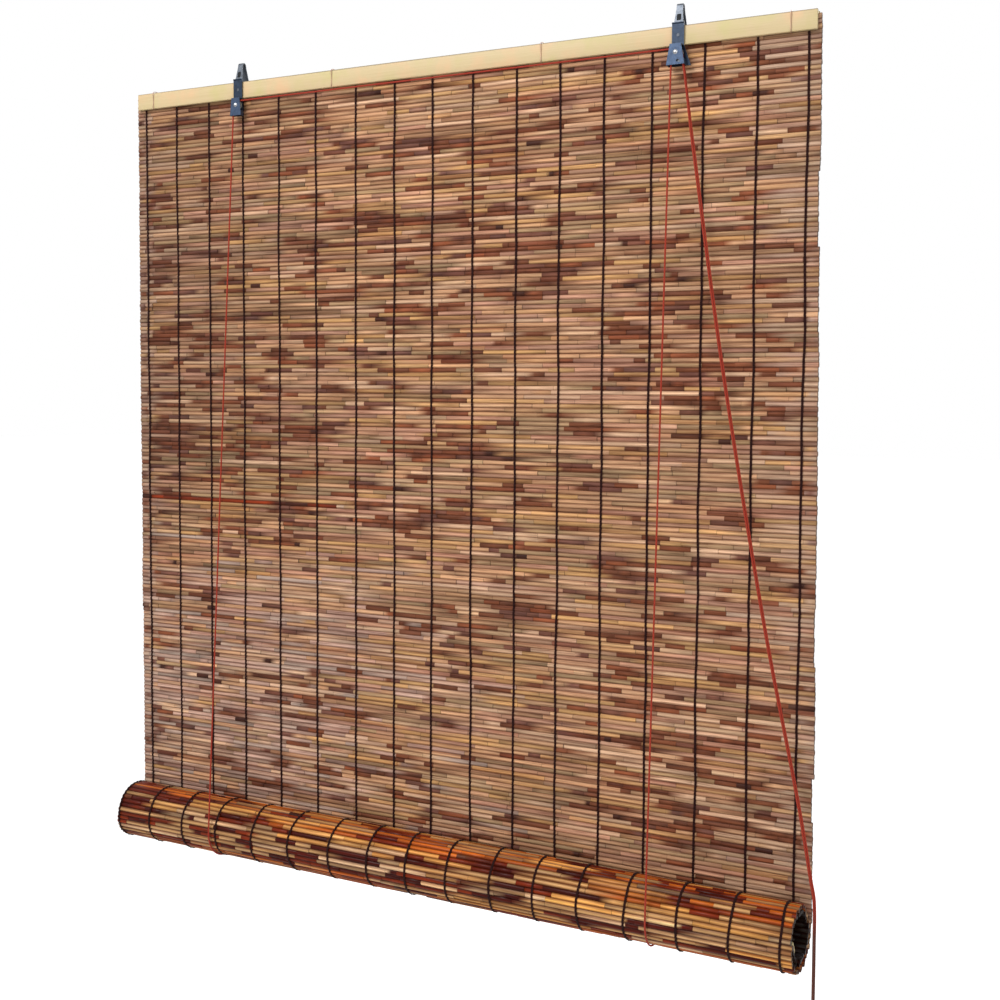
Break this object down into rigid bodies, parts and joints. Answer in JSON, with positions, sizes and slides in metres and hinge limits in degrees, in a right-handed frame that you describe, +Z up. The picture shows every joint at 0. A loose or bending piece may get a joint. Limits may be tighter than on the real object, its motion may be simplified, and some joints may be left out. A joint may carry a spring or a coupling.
{
  "type": "reed roller blind",
  "caption": "Hanging roller blind of bamboo reeds woven with black strings, its lower part rolled up in cord slings that run over pulleys to a roller lock and a pull cord.",
  "frame": {"origin": "middle of the axis through both hooks' saddles, from which the blind hangs", "axes": "+X along the battens to the right seen from the front, +Y to the back, +Z up"},
  "size_m": [1.0295, 0.0966, 1.2647],
  "materials": {
    "bamboo": "satin",
    "reed": "satin",
    "string": "matte",
    "tie_wire": "satin",
    "hook_steel": "satin",
    "blued_steel": "gloss",
    "rivet_steel": "satin",
    "sheave": "satin",
    "cord": "matte"
  },
  "bodies": {
    "head": {"front_head_batten": "bamboo", "rear_head_batten": "bamboo", "hanging_reed_mat": "reed", "hanging_warp_strings": "string", "batten_wire_ties": "tie_wire", "left_hanging_hook": "hook_steel", "right_hanging_hook": "hook_steel", "hook_rivets": "rivet_steel", "left_pulley_plate": "blued_steel", "right_lock_plate": "blued_steel", "left_pulley_cover": "blued_steel", "right_lock_cover": "blued_steel", "left_axle_rivet": "rivet_steel", "right_axle_rivet": "rivet_steel", "crossing_cord": "cord", "left_lift_cord": "cord", "right_lift_cord": "cord", "left_rear_cord": "cord", "right_rear_cord": "cord", "anchor_knots": "cord", "pull_cord_rear_strand": "cord", "pull_cord_front_strand": "cord", "pull_cord_knot": "cord"},
    "left_sheave": {"left_sheave": "sheave"},
    "right_rear_sheave": {"right_rear_sheave": "sheave"},
    "right_front_sheave": {"right_front_sheave": "sheave"},
    "lock_roller": {"lock_roller": "rivet_steel"},
    "sling": {"left_cord_sling": "cord", "right_cord_sling": "cord"},
    "roll": {"rolled_reed_mat": "reed", "rolled_warp_strings": "string", "bottom_batten": "bamboo"}
  },
  "joints": [
    {"name": "roll_lift", "type": "slide", "parent": "head", "child": "sling", "axis": [0, 0, 1], "range_m": [0, 0.894], "deforming": ["hanging_reed_mat", "hanging_warp_strings", "left_lift_cord", "right_lift_cord", "left_rear_cord", "right_rear_cord", "pull_cord_rear_strand", "pull_cord_front_strand"]},
    {"name": "roll_spin", "type": "hinge", "parent": "sling", "child": "roll", "pos_m": [0, -0.038, -1.098], "axis": [1, 0, 0], "range_deg": [-1081, 0.5]},
    {"name": "left_sheave_spin", "type": "hinge", "parent": "head", "child": "left_sheave", "pos_m": [-0.325, -0.0132, -0.058], "axis": [0, 1, 0], "continuous": true},
    {"name": "right_rear_sheave_spin", "type": "hinge", "parent": "head", "child": "right_rear_sheave", "pos_m": [0.325, -0.0132, -0.058], "axis": [0, 1, 0], "continuous": true},
    {"name": "right_front_sheave_spin", "type": "hinge", "parent": "head", "child": "right_front_sheave", "pos_m": [0.325, -0.0179, -0.058], "axis": [0, 1, 0], "continuous": true},
    {"name": "lock_slide", "type": "slide", "parent": "head", "child": "lock_roller", "axis": [-0.866, 0, 0.5], "range_m": [0, 0.0025]}
  ],
  "couplings": [
    {"joint": "roll_spin", "follows": "roll_lift", "rad_per_m": -21.084},
    {"joint": "left_sheave_spin", "follows": "roll_lift", "rad_per_m": 333.33},
    {"joint": "right_rear_sheave_spin", "follows": "roll_lift", "rad_per_m": 333.33},
    {"joint": "right_front_sheave_spin", "follows": "roll_lift", "rad_per_m": 333.33}
  ]
}
